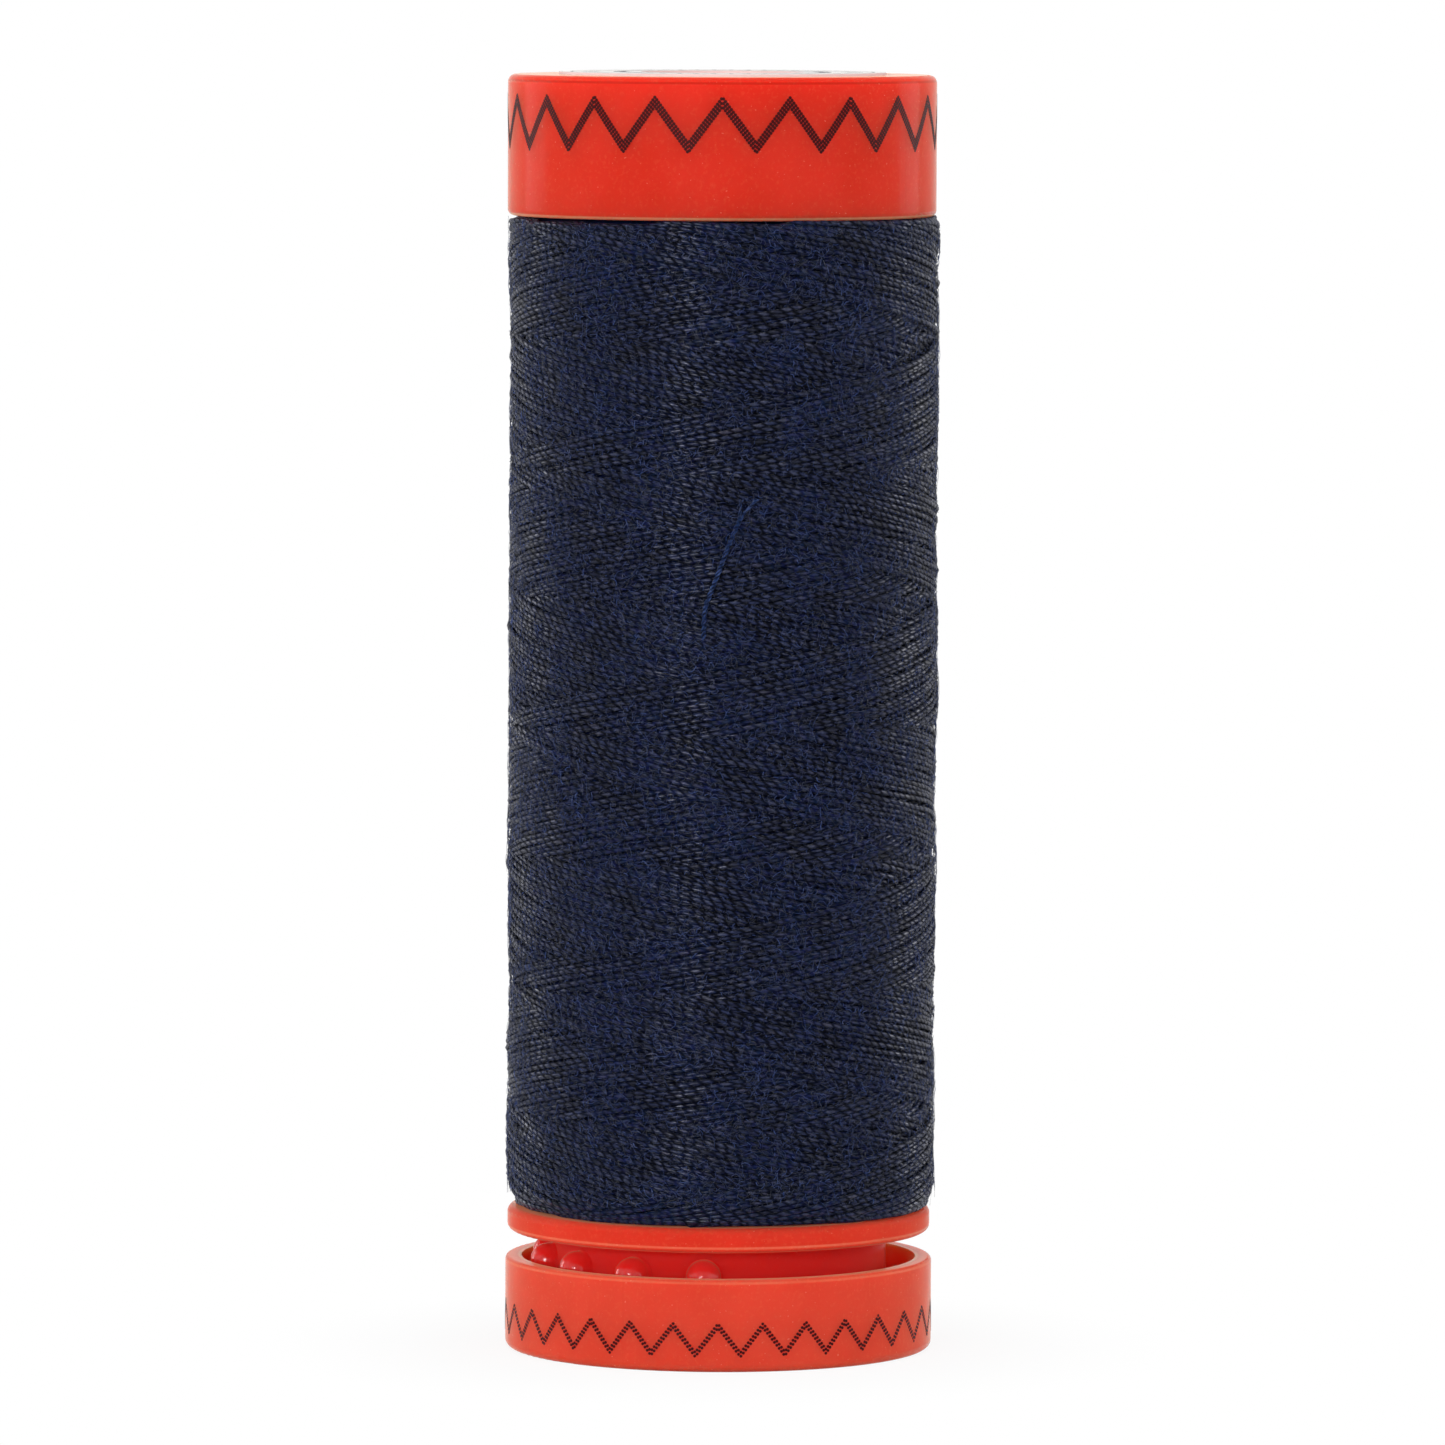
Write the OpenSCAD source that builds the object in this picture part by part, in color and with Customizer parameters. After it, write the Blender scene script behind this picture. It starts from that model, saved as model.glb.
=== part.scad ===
// Spool of sewing thread with a snap base that nips the loose end of the thread.
// The spool stands on its base, +Z runs up its axis and the base's underside is at z = 0.
// The base is drawn pulled open; it slides up by `travel` to close against the flange.

/* [Overall] */
// Outer diameter of the head and of the snap base
spool_d = 21; // [18:0.1:40]
// Length of the winding, between the lower flange and the head
wind_h = 48.7; // [38:0.1:120]
// Height of the head
head_h = 6.9; // [5.5:0.1:15]
// Height of the snap base
base_h = 4.5; // [3.8:0.1:10]
// Gap between the base's rim and the flange while the base is open
open_gap = 1.3; // [0.6:0.05:1.8]
// Gap that is left there when the base is shut
shut_gap = 0.05; // [0.02:0.01:0.3]

/* [Barrel] */
// Wall of the tube that the thread is wound on
tube_wall = 1.1; // [0.8:0.05:1.6]
// Step from the tube out to the neck below the flange
neck_step = 0.25; // [0:0.05:0.8]
// How far the flange's edge is set back from the head's
flange_inset = 0.1; // [0:0.05:0.5]
// Thickness of the flange
flange_t = 1.2; // [0.8:0.1:2.5]
// Rounding of the flange's two edges
flange_edge = 0.35; // [0.1:0.05:0.4]
// Thickness of the disc that closes the head from below
disc_t = 1; // [0.6:0.1:2]

/* [Grip bumps] */
// Bumps in the row that goes half round the neck
bump_n = 8; // [1:1:12]
// Angle between neighbouring bumps
bump_step = 24.6; // [21:0.1:28]
// Angle of the first bump, clockwise from the front as seen from above
bump_first = 4.8; // [0:0.1:20]
// How far the centre of a bump's dome stands out of the neck
bump_out = 0.3; // [0.2:0.05:0.4]
// Room for the thread between the bumps and the inside of the rim
bump_room = 0.3; // [0.2:0.05:0.4]
// Hollow rounding where a bump's foot runs out on the neck
bump_flare = 0.25; // [0.1:0.05:0.25]
// Depth of the bumps' centres below the rim of the open base
bump_drop = 0.1; // [0:0.05:0.3]

/* [Snap base] */
// Wall of the base's rim
rim_wall = 0.8; // [0.6:0.05:1.2]
// Room between the inside of the rim and the neck
neck_room = 1.45; // [1.3:0.05:1.6]
// Thickness of the floor
floor_t = 1; // [0.8:0.05:1.5]
// Rounding of the rim's upper edge
rim_edge = 0.2; // [0.05:0.05:0.3]
// Rounding of the head's and the base's outer ends
end_edge = 0.4; // [0.1:0.05:0.5]
// Rounding of the head's lower edge
head_edge = 0.3; // [0.1:0.05:0.4]
// Wall of the sleeve that slides in the tube
sleeve_wall = 1; // [0.7:0.05:1.2]
// Height of the sleeve above the floor
sleeve_h = 7; // [6:0.1:12]
// Clearance all round the sleeve in the tube
sleeve_clear = 0.06; // [0.02:0.01:0.1]
// How far the snap bead stands out of the sleeve
bead_proud = 0.15; // [0.1:0.01:0.25]
// Radius of the bead's rounded section
bead_r = 0.4; // [0.3:0.05:0.6]
// Play of the bead at each end of its groove and at the groove's floor
bead_clear = 0.1; // [0.05:0.01:0.2]
// Slots that split the sleeve into fingers
slot_n = 4; // [2:1:6]
// Width of a slot
slot_w = 1.2; // [0.6:0.1:2]

/* [Head] */
// Wall of the head's skirt
skirt_wall = 1.3; // [1:0.05:1.8]
// Wall of the skirt where it fits round the disc
seat_wall = 1; // [0.7:0.05:1.5]
// Clearance between the disc and the skirt
seat_clear = 0.05; // [0.02:0.01:0.15]
// Thickness of the head's top
top_t = 1.2; // [0.8:0.1:2]
// Wall of the ring that plugs into the tube
plug_wall = 1; // [0.7:0.05:1.2]
// Depth of that ring below the disc's upper face
plug_h = 3; // [1.5:0.1:8]
// Clearance round the plug ring
plug_clear = 0.05; // [0.02:0.01:0.15]

/* [Spindle hole] */
// Diameter of the hole for a machine's spool pin, at both ends
pin_d = 7; // [5:0.1:9]
// Length of the collar round the hole in the head
head_collar = 3; // [1.5:0.1:5]
// Length of the collar round the hole in the base
base_collar = 2.5; // [1.2:0.1:4]
// Wall of the collars
collar_wall = 1.1; // [0.8:0.05:1.3]

/* [Labels] */
// Diameter of the paper labels
label_d = 16; // [12:0.1:16.5]
// Clearance between the edge of the spindle hole and the edge of the labels' hole
label_hole_clear = 0.5; // [0.1:0.05:1]
// Thickness of the paper
label_t = 0.12; // [0.05:0.01:0.3]
// Depth of the recess that keeps the lower label off the ground
label_recess = 0.3; // [0.2:0.05:0.4]
// Clearance between the lower label and its recess
label_clear = 0.2; // [0.05:0.05:0.5]

/* [Thread] */
// How far the winding's surface is set back from the head's edge
wind_inset = 0.05; // [0:0.05:0.5]
// Width of one drawn turn, which stands for a band of threads
turn_d = 1.35; // [0.8:0.05:1.4]
// Least gap between neighbouring drawn turns
turn_gap = 0.5; // [0.45:0.05:3]
// Clearance between the outer layer and the layers below it
turn_clear = 0.03; // [0.02:0.01:0.2]
// Diameter of the sewing thread itself
thread_d = 0.24; // [0.15:0.01:0.4]
// Height above the flange at which the loose end leaves the winding
tail_z = 28.6; // [5:0.1:100]
// Clearance between the loose end and the winding
tail_clear = 0.03; // [0.01:0.01:0.1]

/* [Hidden] */
$fn = 96;
BITE = 0.3;
CUT = 1;
EMBED = 0.05;

spool_r = spool_d / 2;
travel = open_gap - shut_gap;

flange_z = base_h + open_gap;
wind_z = flange_z + flange_t;
head_z = wind_z + wind_h;
top_z = head_z + head_h;

rim_r = spool_r - rim_wall;
neck_r = rim_r - neck_room;
tube_r = neck_r - neck_step;
bore_r = tube_r - tube_wall;
flange_r = spool_r - flange_inset;
disc_r = spool_r - seat_wall - seat_clear;
disc_top = head_z + disc_t;
neck_z = floor_t + travel + bead_clear;

bump_r = neck_room - bump_room - bump_out;
bump_foot = bump_r + bump_flare;
bump_z = base_h - bump_drop;
// The foot's plane lies deep enough to meet the round neck on every side.
bump_sink = bump_out + neck_r - sqrt(pow(neck_r, 2) - pow(bump_foot, 2)) + EMBED;

sleeve_r = bore_r - sleeve_clear;
sleeve_top = floor_t + sleeve_h;
bead_z = sleeve_top - 2 * bead_r;
groove_r = sleeve_r + bead_proud + bead_clear;
groove_z = bead_z - bead_r - bead_clear;
groove_h = 2 * (bead_r + bead_clear) + travel;
slot_z = floor_t + slot_w;

plug_r = bore_r - plug_clear;
pin_r = pin_d / 2;
collar_r = pin_r + collar_wall;
label_hole_r = pin_r + label_hole_clear;

wind_r = spool_r - wind_inset;
turn_r = turn_d / 2;
coil_r = wind_r - turn_r;

RED = [0.87, 0.25, 0.18];
DEEP_RED = [0.80, 0.16, 0.12];
PAPER = [0.88, 0.87, 0.84];
NAVY = [0.09, 0.12, 0.27];
DEEP_NAVY = [0.06, 0.08, 0.18];
BLUE = [0.14, 0.22, 0.48];

// Outer layer: rings to a turn, sides of the tube, and the bends where its ends turn upright.
TURN_RINGS = 24;
TURN_SIDES = 6;
BEND_STEPS = 4;
bend_r = 0.7 * turn_d;

// The straight stretches between two rings dip in towards the axis, and the core stays clear of them.
core_r = (coil_r - turn_r) * cos(180 / TURN_RINGS) - turn_clear;

// Loose end: sideways offset from the front and height, a point for each bend of the thread.
TAIL_ROUTE = [
  [-0.9, 0], [-0.8, 0.9], [-0.6, 1.8], [-0.35, 2.8], [0.0, 3.8], [0.4, 4.8], [0.8, 5.8], [1.3, 6.9]
];
TAIL_STEPS = 2;
TAIL_SIDES = 8;

// A solid of revolution with its outer edges rounded: low at z = 0 and high at z = h.
module drum(d, h, low, high) {
  rotate_extrude()
    difference() {
      square([d / 2, h]);
      translate([d / 2, 0])
        corner_waste(low);
      translate([d / 2, h])
        mirror([0, 1])
          corner_waste(high);
    }
}

// What a rounding of radius r takes off a square corner at the origin.
module corner_waste(r) {
  difference() {
    translate([-r, -CUT])
      square([r + CUT, r + CUT]);
    translate([-r, r])
      circle(r);
    translate([-r - CUT, -CUT])
      square([CUT, r + 2 * CUT]);
  }
}

module tube(outer_r, inner_r, h) {
  difference() {
    cylinder(r = outer_r, h = h);
    translate([0, 0, -CUT])
      cylinder(r = inner_r, h = h + 2 * CUT);
  }
}

// A hole along the axis from z0 up to z1.
module hole(r, z0, z1) {
  translate([0, 0, z0])
    cylinder(r = r, h = z1 - z0);
}

// Closed tube of triangles through rings of points that all have as many corners.
module skin(rings) {
  n = len(rings[0]);
  last = (len(rings) - 1) * n;
  walls = [
    for (i = [0 : len(rings) - 2], j = [0 : n - 1])
      let (a = i * n + j, b = i * n + (j + 1) % n)
        each [[a, a + n, b], [b, a + n, b + n]]
  ];
  ends = [
    for (j = [1 : n - 2])
      each [[0, j, j + 1], [last, last + j + 1, last + j]]
  ];
  polyhedron([for (ring = rings) each ring], concat(walls, ends), convexity = 10);
}

// Directions on a cylinder at angle a, measured from the front (-Y) towards +X.
function outward(a) = [sin(a), -cos(a), 0];
function onward(a) = [cos(a), sin(a), 0];

// Centre of a ring that lies at angle a and height z on a cylinder of radius r.
function on_cylinder(r, a, z) = r * outward(a) + [0, 0, z];

// Ring of a tube that runs on that cylinder, climbing at `climb` degrees.
function ring_at(r, a, z, climb, tube_r, sides) =
  let (across = -sin(climb) * onward(a) + [0, 0, cos(climb)])
    [
      for (k = [0 : sides - 1])
        let (t = 360 * k / sides)
          on_cylinder(r, a, z) + tube_r * (cos(t) * outward(a) + sin(t) * across)
    ];

// Outer layer as [distance round the cylinder, height, climb], from the flange to the head.
MOST_TURNS = 23;
climb_h = wind_h - 2 * (turn_d + bend_r);
turn_n = min(MOST_TURNS, floor(climb_h / (turn_d + turn_gap)));
climb = atan(climb_h / (turn_n * 2 * PI * coil_r));
coil_low = wind_z + turn_d + bend_r * cos(climb);
coil_high = head_z - turn_d - bend_r * cos(climb);
coil_run = turn_n * 2 * PI * coil_r;
bend_run = bend_r * (1 - sin(climb));
coil_steps = turn_n * TURN_RINGS;

function bend_in(k) =
  let (t = (90 - climb) * k / BEND_STEPS)
    [bend_r * (1 - cos(t)), wind_z + turn_d + bend_r * sin(t), 90 - t];

function flipped(p) = [2 * bend_run + coil_run - p[0], wind_z + head_z - p[1], p[2]];

turn_start = concat([[0, wind_z, 90]], [for (k = [0 : BEND_STEPS]) bend_in(k)]);
turn_end = [for (k = [len(turn_start) - 1 : -1 : 0]) flipped(turn_start[k])];
turn_middle = [
  for (k = [1 : coil_steps - 1])
    let (share = k / coil_steps)
      [bend_run + coil_run * share, coil_low + (coil_high - coil_low) * share, climb]
];
turn_path = concat(turn_start, turn_middle, turn_end);

// Its ends stand behind the spool.
TURN_FROM = 180;
function turn_angle(run) = TURN_FROM + run / coil_r * 180 / PI;

function least_gap(points, width, apart) =
  min([
    for (i = [0 : len(points) - 1 - apart], j = [i + apart : len(points) - 1])
      norm(points[i] - points[j])
  ]) - width;

// Loose end: the route's points and those between them, on a cylinder just outside the winding.
tail_r = wind_r + thread_d / 2 + tail_clear;
function tail_route(k) =
  let (i = min(floor(k / TAIL_STEPS), len(TAIL_ROUTE) - 2), f = k / TAIL_STEPS - i)
    TAIL_ROUTE[i] * (1 - f) + TAIL_ROUTE[i + 1] * f;
tail_last = (len(TAIL_ROUTE) - 1) * TAIL_STEPS;
function tail_climb(k) =
  let (step = tail_route(min(k + 1, tail_last)) - tail_route(max(k - 1, 0)))
    atan2(step[1], step[0]);

module barrel() {
  color(RED)
    difference() {
      union() {
        translate([0, 0, wind_z - BITE])
          cylinder(r = tube_r, h = wind_h + 2 * BITE);
        translate([0, 0, neck_z])
          cylinder(r = neck_r, h = flange_z - neck_z + BITE);
        translate([0, 0, flange_z])
          drum(2 * flange_r, flange_t, flange_edge, flange_edge);
        translate([0, 0, head_z])
          cylinder(r = disc_r, h = disc_t);
        bumps();
      }
      hole(bore_r, neck_z - CUT, disc_top + CUT);
      hole(groove_r, groove_z, groove_z + groove_h);
    }
}

module bumps() {
  for (i = [0 : bump_n - 1])
    translate([0, 0, bump_z])
      rotate([90, 0, -bump_first - i * bump_step])
        translate([0, 0, neck_r + bump_out])
          bump();
}

// A dome on a flared foot; +Z points out of the neck and the dome's centre is at the origin.
module bump() {
  rotate_extrude()
    difference() {
      union() {
        intersection() {
          circle(bump_r);
          square(bump_r);
        }
        translate([0, -bump_sink - BITE])
          square([bump_r, bump_sink + BITE]);
        translate([0, -bump_sink - BITE])
          square([bump_foot, BITE + bump_flare]);
      }
      translate([bump_foot, bump_flare - bump_sink])
        circle(bump_flare);
    }
}

module head_cap() {
  color(RED)
    difference() {
      union() {
        difference() {
          translate([0, 0, head_z])
            drum(spool_d, head_h, head_edge, end_edge);
          hole(disc_r + seat_clear, head_z - CUT, disc_top);
          hole(spool_r - skirt_wall, head_z - CUT, top_z - top_t);
        }
        translate([0, 0, disc_top - plug_h])
          tube(plug_r, plug_r - plug_wall, top_z - top_t + BITE - (disc_top - plug_h));
        translate([0, 0, top_z - head_collar])
          cylinder(r = collar_r, h = head_collar - BITE);
      }
      hole(pin_r, head_z, top_z + CUT);
    }
}

module snap_base() {
  color(DEEP_RED)
    difference() {
      union() {
        difference() {
          drum(spool_d, base_h, end_edge, rim_edge);
          hole(rim_r, floor_t, base_h + CUT);
        }
        sleeve();
        translate([0, 0, label_recess + BITE])
          cylinder(r = collar_r, h = base_collar - label_recess - BITE);
      }
      hole(pin_r, -CUT, base_h + CUT);
      hole(label_d / 2 + label_clear, -CUT, label_recess);
    }
}

// Split sleeve whose bead catches in the groove of the tube.
module sleeve() {
  difference() {
    union() {
      translate([0, 0, floor_t - BITE])
        tube(sleeve_r, sleeve_r - sleeve_wall, sleeve_h + BITE);
      rotate_extrude()
        intersection() {
          translate([sleeve_r + bead_proud - bead_r, bead_z])
            circle(bead_r);
          translate([sleeve_r - sleeve_wall / 2, 0])
            square([sleeve_wall, sleeve_top]);
        }
    }
    for (i = [0 : slot_n - 1])
      rotate(360 * i / slot_n)
        translate([sleeve_r - sleeve_wall - BITE / 2, -slot_w / 2, slot_z])
          cube([sleeve_wall + CUT, slot_w, sleeve_top]);
  }
}

module top_label() {
  color(PAPER)
    translate([0, 0, top_z])
      tube(label_d / 2, label_hole_r, label_t);
}

module base_label() {
  color(PAPER)
    translate([0, 0, label_recess - label_t])
      tube(label_d / 2, label_hole_r, label_t);
}

// The wound layers below the outer one.
module thread_core() {
  color(DEEP_NAVY)
    translate([0, 0, wind_z])
      tube(core_r, tube_r, wind_h);
}

// The outer layer, one unbroken tube from the flange to the head.
module thread_turns() {
  centres = [for (p = turn_path) on_cylinder(coil_r, turn_angle(p[0]), p[1])];
  echo(least_gap_mm = least_gap(centres, turn_d, TURN_RINGS / 2));
  color(NAVY)
    skin([
      for (p = turn_path)
        ring_at(coil_r, turn_angle(p[0]), p[1], p[2], turn_r, TURN_SIDES)
    ]);
}

// The thread's loose end, lying up the front of the winding.
module thread_tail() {
  color(BLUE)
    skin([
      for (k = [0 : tail_last])
        let (p = tail_route(k))
          ring_at(
            tail_r, p[0] / tail_r * 180 / PI, wind_z + tail_z + p[1],
            tail_climb(k), thread_d / 2, TAIL_SIDES
          )
    ]);
}

barrel();
head_cap();
snap_base();
top_label();
base_label();
thread_core();
thread_turns();
thread_tail();
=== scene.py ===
import math

import bmesh
import bpy
from mathutils import Matrix, Vector


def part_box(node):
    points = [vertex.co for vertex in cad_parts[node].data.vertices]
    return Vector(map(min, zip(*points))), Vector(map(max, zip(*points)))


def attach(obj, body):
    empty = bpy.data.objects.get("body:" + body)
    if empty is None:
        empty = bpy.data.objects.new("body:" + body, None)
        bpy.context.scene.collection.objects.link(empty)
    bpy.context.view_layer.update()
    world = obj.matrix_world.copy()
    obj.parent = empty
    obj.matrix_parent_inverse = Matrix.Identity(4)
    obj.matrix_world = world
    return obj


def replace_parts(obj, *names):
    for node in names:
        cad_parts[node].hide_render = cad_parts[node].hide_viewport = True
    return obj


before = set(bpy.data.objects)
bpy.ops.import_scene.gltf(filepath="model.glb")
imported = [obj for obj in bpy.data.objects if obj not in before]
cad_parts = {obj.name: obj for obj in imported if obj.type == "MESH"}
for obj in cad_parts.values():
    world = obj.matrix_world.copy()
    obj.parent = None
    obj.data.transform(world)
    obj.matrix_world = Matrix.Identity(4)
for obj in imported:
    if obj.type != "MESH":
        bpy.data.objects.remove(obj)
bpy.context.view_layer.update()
MM = 0.001
TURN = 2 * math.pi

# ---------------------------------------------------------------- sizes taken from the frame

HEAD_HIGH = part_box("head_cap")[1]
HEAD_R = HEAD_HIGH.x
HEAD_TOP = HEAD_HIGH.z
BASE_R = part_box("snap_base")[1].x
WIND_LOW, WIND_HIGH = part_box("thread_core")
CORE_R = WIND_HIGH.x
HEAD_BOTTOM = WIND_HIGH.z
FLANGE_TOP = WIND_LOW.z
FLANGE_THICKNESS = 1.2 * MM
FLANGE_LOW = FLANGE_TOP - FLANGE_THICKNESS
OPEN_GAP = 1.3 * MM
RIM_HIGH = FLANGE_LOW - OPEN_GAP
RIM_WALL = 0.8 * MM
NECK_R = BASE_R - 2.25 * MM

# ---------------------------------------------------------------- the thread and how it is wound

THREAD_D = 0.252 * MM
WIND_R = HEAD_R - 0.03 * MM
LAY_PITCH = 12.65 * MM
PASSES = 49
CROSSING_Z = 37.2 * MM
CROSSING_ANGLE = math.radians(90)
LAYER_STEP = 0.9 * THREAD_D
END_SPACE = 0.12 * MM
RINGS_PER_TURN = 88
THREAD_SIDES = 6
WINDING_PARTS = 3
PLY_PITCH = 1.106 * MM
PLIES = 2

# The winding isn't quite even: how much it swells and sinks, and how far it lies off the axis.
SWELL = 0.6 * MM
OFF_CENTRE = 0.11 * MM

# How far a pass strays: up and down by itself, up and down with its neighbours, and in and out.
WANDER = 0.22 * MM
BUNCHING = 0.55 * MM
PROUD = 0.62 * MM

# A groove that stays open between passes on their way down: its width, and where in a turn it lies.
SLACK = 0.16 * MM
GROOVE = (0.135, 0.148)

# Over what height a pass bends as it turns back, and in what share of a turn it dips at a crossing.
TURN_BACK = 0.9 * MM
DIVE = 0.032

# Where the winding rounds off at each end: over what height, and by how much.
FLANGE_END_HEIGHT, FLANGE_END_DROP = 0.9 * MM, 0.35 * MM
HEAD_END_HEIGHT, HEAD_END_DROP = 0.6 * MM, 0.12 * MM

# The ribbed drum below the outer layer: how far its bore lies inside the CAD's core, its clearance
# to the thread, its ribs, how it rounds off at both ends, and its steps round the axis.
DRUM_BORE_IN = 0.9 * MM
DRUM_CLEARANCE = 0.03 * MM
DRUM_RIB_PITCH = 0.24 * MM
DRUM_RIB_DEPTH = 0.07 * MM
DRUM_END_HEIGHT, DRUM_END_DROP = 1.2 * MM, 0.75 * MM
DRUM_STEPS = 96

# How closely the patches lie where fluff has matted over the winding, per metre.
MATTING = 420.0

# Fuzz on the winding, in layers: how many hairs, how far they stand off it, how thick they are and
# how long the longest is. Each layer draws from a few seeds that follow its first one.
FUZZ_LAYERS = [
    (9500, -0.01 * MM, 0.046 * MM, 0.35 * MM), (9500, 0.00 * MM, 0.040 * MM, 0.45 * MM),
    (9500, 0.01 * MM, 0.032 * MM, 0.5 * MM), (9500, 0.02 * MM, 0.024 * MM, 0.7 * MM),
    (9500, 0.03 * MM, 0.018 * MM, 0.9 * MM), (6500, 0.06 * MM, 0.015 * MM, 1.6 * MM),
]
FIRST_SEED = 11
SEED_STEP = 20

# A hair's least length, how far its middle may stand off, how far it sinks where nothing is matted,
# its steepest slope, its points and its sides, and the bare strips at the flange and at the head.
SHORTEST_HAIR = 0.15 * MM
HAIR_LIFT = 0.07 * MM
HAIR_SINK = 0.07 * MM
HAIR_SLOPE = 1.57
HAIR_POINTS = 4
HAIR_SIDES = 3
BARE_AT_FLANGE = 1.0 * MM
BARE_AT_HEAD = 0.4 * MM

# ---------------------------------------------------------------- print and labels

# The printed stitches: a dot's width on the head and on the base, a dot's sides, how far the ink
# stands proud, and on each part the rows, how far apart they are, the height of the lowest row, the
# zigzag's height, its waves and the dots in a row.
HEAD_DOT = 0.165 * MM
BASE_DOT = 0.1485 * MM
DOT_SIDES = 8
INK = 0.008 * MM
HEAD_ROWS, HEAD_ROW_STEP, HEAD_ROW_AT = 3, 0.22 * MM, HEAD_BOTTOM + 4.4 * MM
HEAD_WAVE, HEAD_WAVES, HEAD_DOTS = 2.2 * MM, 20.0, 690
BASE_ROWS, BASE_ROW_STEP, BASE_ROW_AT = 2, 0.2 * MM, 1.5 * MM
BASE_WAVE, BASE_WAVES, BASE_DOTS = 1.4 * MM, 30.0, 560

# The labels' print: each ring's inner and outer radius, how many ticks there are, and how soft a
# printed edge is.
BROAD_RING = (4.75 * MM, 5.35 * MM)
HAIRLINE = (7.35 * MM, 7.47 * MM)
TICK_RING = (6.1 * MM, 6.9 * MM)
TICKS = 48
PRINT_EDGE = 0.03 * MM

# ---------------------------------------------------------------- camera

FRAME_PIXELS = 1445
FOCAL_PIXELS = 11000
CAMERA_DISTANCE = 540.5 * MM
CAMERA_SIDE = 0.113 * MM
CAMERA_PITCH = math.radians(4.23)
CAMERA_ROLL = math.radians(0.215)
AIM_HEIGHT = 30.8 * MM
SENSOR_WIDTH = 36
NEAREST_SEEN = 0.01
FURTHEST_SEEN = 20.0

# ---------------------------------------------------------------- studio

WHITE = (1.0, 1.0, 1.0, 1.0)
FLOOR_GREY = (0.84, 0.84, 0.84, 1.0)

# How far the floor reaches, between which distances from the axis the spool's shadow fades out on
# it, and the share of plain white that is mixed in under the spool.
FLOOR_REACH = 4.0
SHADE_FROM = 9 * MM
SHADE_TO = 24 * MM
SHADED_WHITE = 0.90

# The light from all round, where plain white is 1.
AMBIENT = 0.34

# Each lamp's azimuth and elevation in degrees, distance, width and height in metres, and watts.
LAMPS = [
    ("key", -19, 9, 0.6, 0.18, 0.09, 1.2),
    ("left_wall", -60, 3, 0.8, 1.0, 0.7, 1.35),
    ("right_wall", 55, 3, 0.8, 1.0, 0.7, 1.55),
    ("left_rim", -120, 2, 0.8, 0.3, 0.6, 2.0),
    ("right_rim", 120, 2, 0.8, 0.3, 0.6, 2.3),
    ("overhead", 0, 80, 0.7, 0.5, 0.5, 2.4),
]


# ================================================================ node helpers


class Value:
    """An output socket that Python's operators work on; each operator adds a Math node."""

    def __init__(self, nodes, socket):
        self.nodes = nodes
        self.socket = socket

    def __getitem__(self, name):
        """Another output of the same node."""
        return Value(self.nodes, self.socket.node.outputs[name])

    def __add__(self, other):
        return self.nodes.math("ADD", self, other)

    __radd__ = __add__

    def __sub__(self, other):
        return self.nodes.math("SUBTRACT", self, other)

    def __rsub__(self, other):
        return self.nodes.math("SUBTRACT", other, self)

    def __mul__(self, other):
        return self.nodes.math("MULTIPLY", self, other)

    __rmul__ = __mul__

    def __truediv__(self, other):
        return self.nodes.math("DIVIDE", self, other)

    def __rtruediv__(self, other):
        return self.nodes.math("DIVIDE", other, self)

    def __pow__(self, other):
        return self.nodes.math("POWER", self, other)

    def __neg__(self):
        return self.nodes.math("MULTIPLY", self, -1.0)

    def __abs__(self):
        return self.nodes.math("ABSOLUTE", self)

    def step(self, low, high):
        """0 below `low`, 1 above `high`, and smooth between them."""
        sockets = {"Value": self, "From Min": low, "From Max": high}
        return self.nodes.add("ShaderNodeMapRange", {"interpolation_type": "SMOOTHSTEP"}, sockets)


class Nodes:
    """Adds nodes to one tree and links them."""

    def __init__(self, tree):
        self.tree = tree

    def add(self, kind, settings=None, sockets=None, out=0):
        """Adds a node with its settings, then its sockets' values or links; gives the output `out`."""
        node = self.tree.nodes.new(kind)
        for name, value in (settings or {}).items():
            if name == "stops":
                self.set_stops(node.color_ramp, value)
            else:
                setattr(node, name, value)
        for name, value in (sockets or {}).items():
            if isinstance(value, Value):
                self.tree.links.new(value.socket, node.inputs[name])
            else:
                node.inputs[name].default_value = value
        return Value(self, node.outputs[out]) if node.outputs else None

    def set_stops(self, ramp, stops):
        while len(ramp.elements) < len(stops):
            ramp.elements.new(1.0)
        for element, (position, colour) in zip(ramp.elements, stops):
            element.position = position
            element.color = colour

    def math(self, operation, *values):
        return self.add("ShaderNodeMath", {"operation": operation}, dict(enumerate(values)))

    def vector(self, x, y, z):
        return self.add("ShaderNodeCombineXYZ", None, {"X": x, "Y": y, "Z": z})

    def vector_math(self, operation, *values):
        return self.add("ShaderNodeVectorMath", {"operation": operation}, dict(enumerate(values)))

    def from_axis(self, place):
        """How far a place, split into its X, Y and Z, is from the spool's axis."""
        return self.math("SQRT", place["X"] * place["X"] + place["Y"] * place["Y"])

    def noise(self, place, scale, detail=2.0, roughness=0.5):
        """Smooth noise from 0 to 1 at `place`."""
        sockets = {"Vector": place, "Scale": scale, "Detail": detail, "Roughness": roughness}
        return self.add("ShaderNodeTexNoise", None, sockets)


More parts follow.
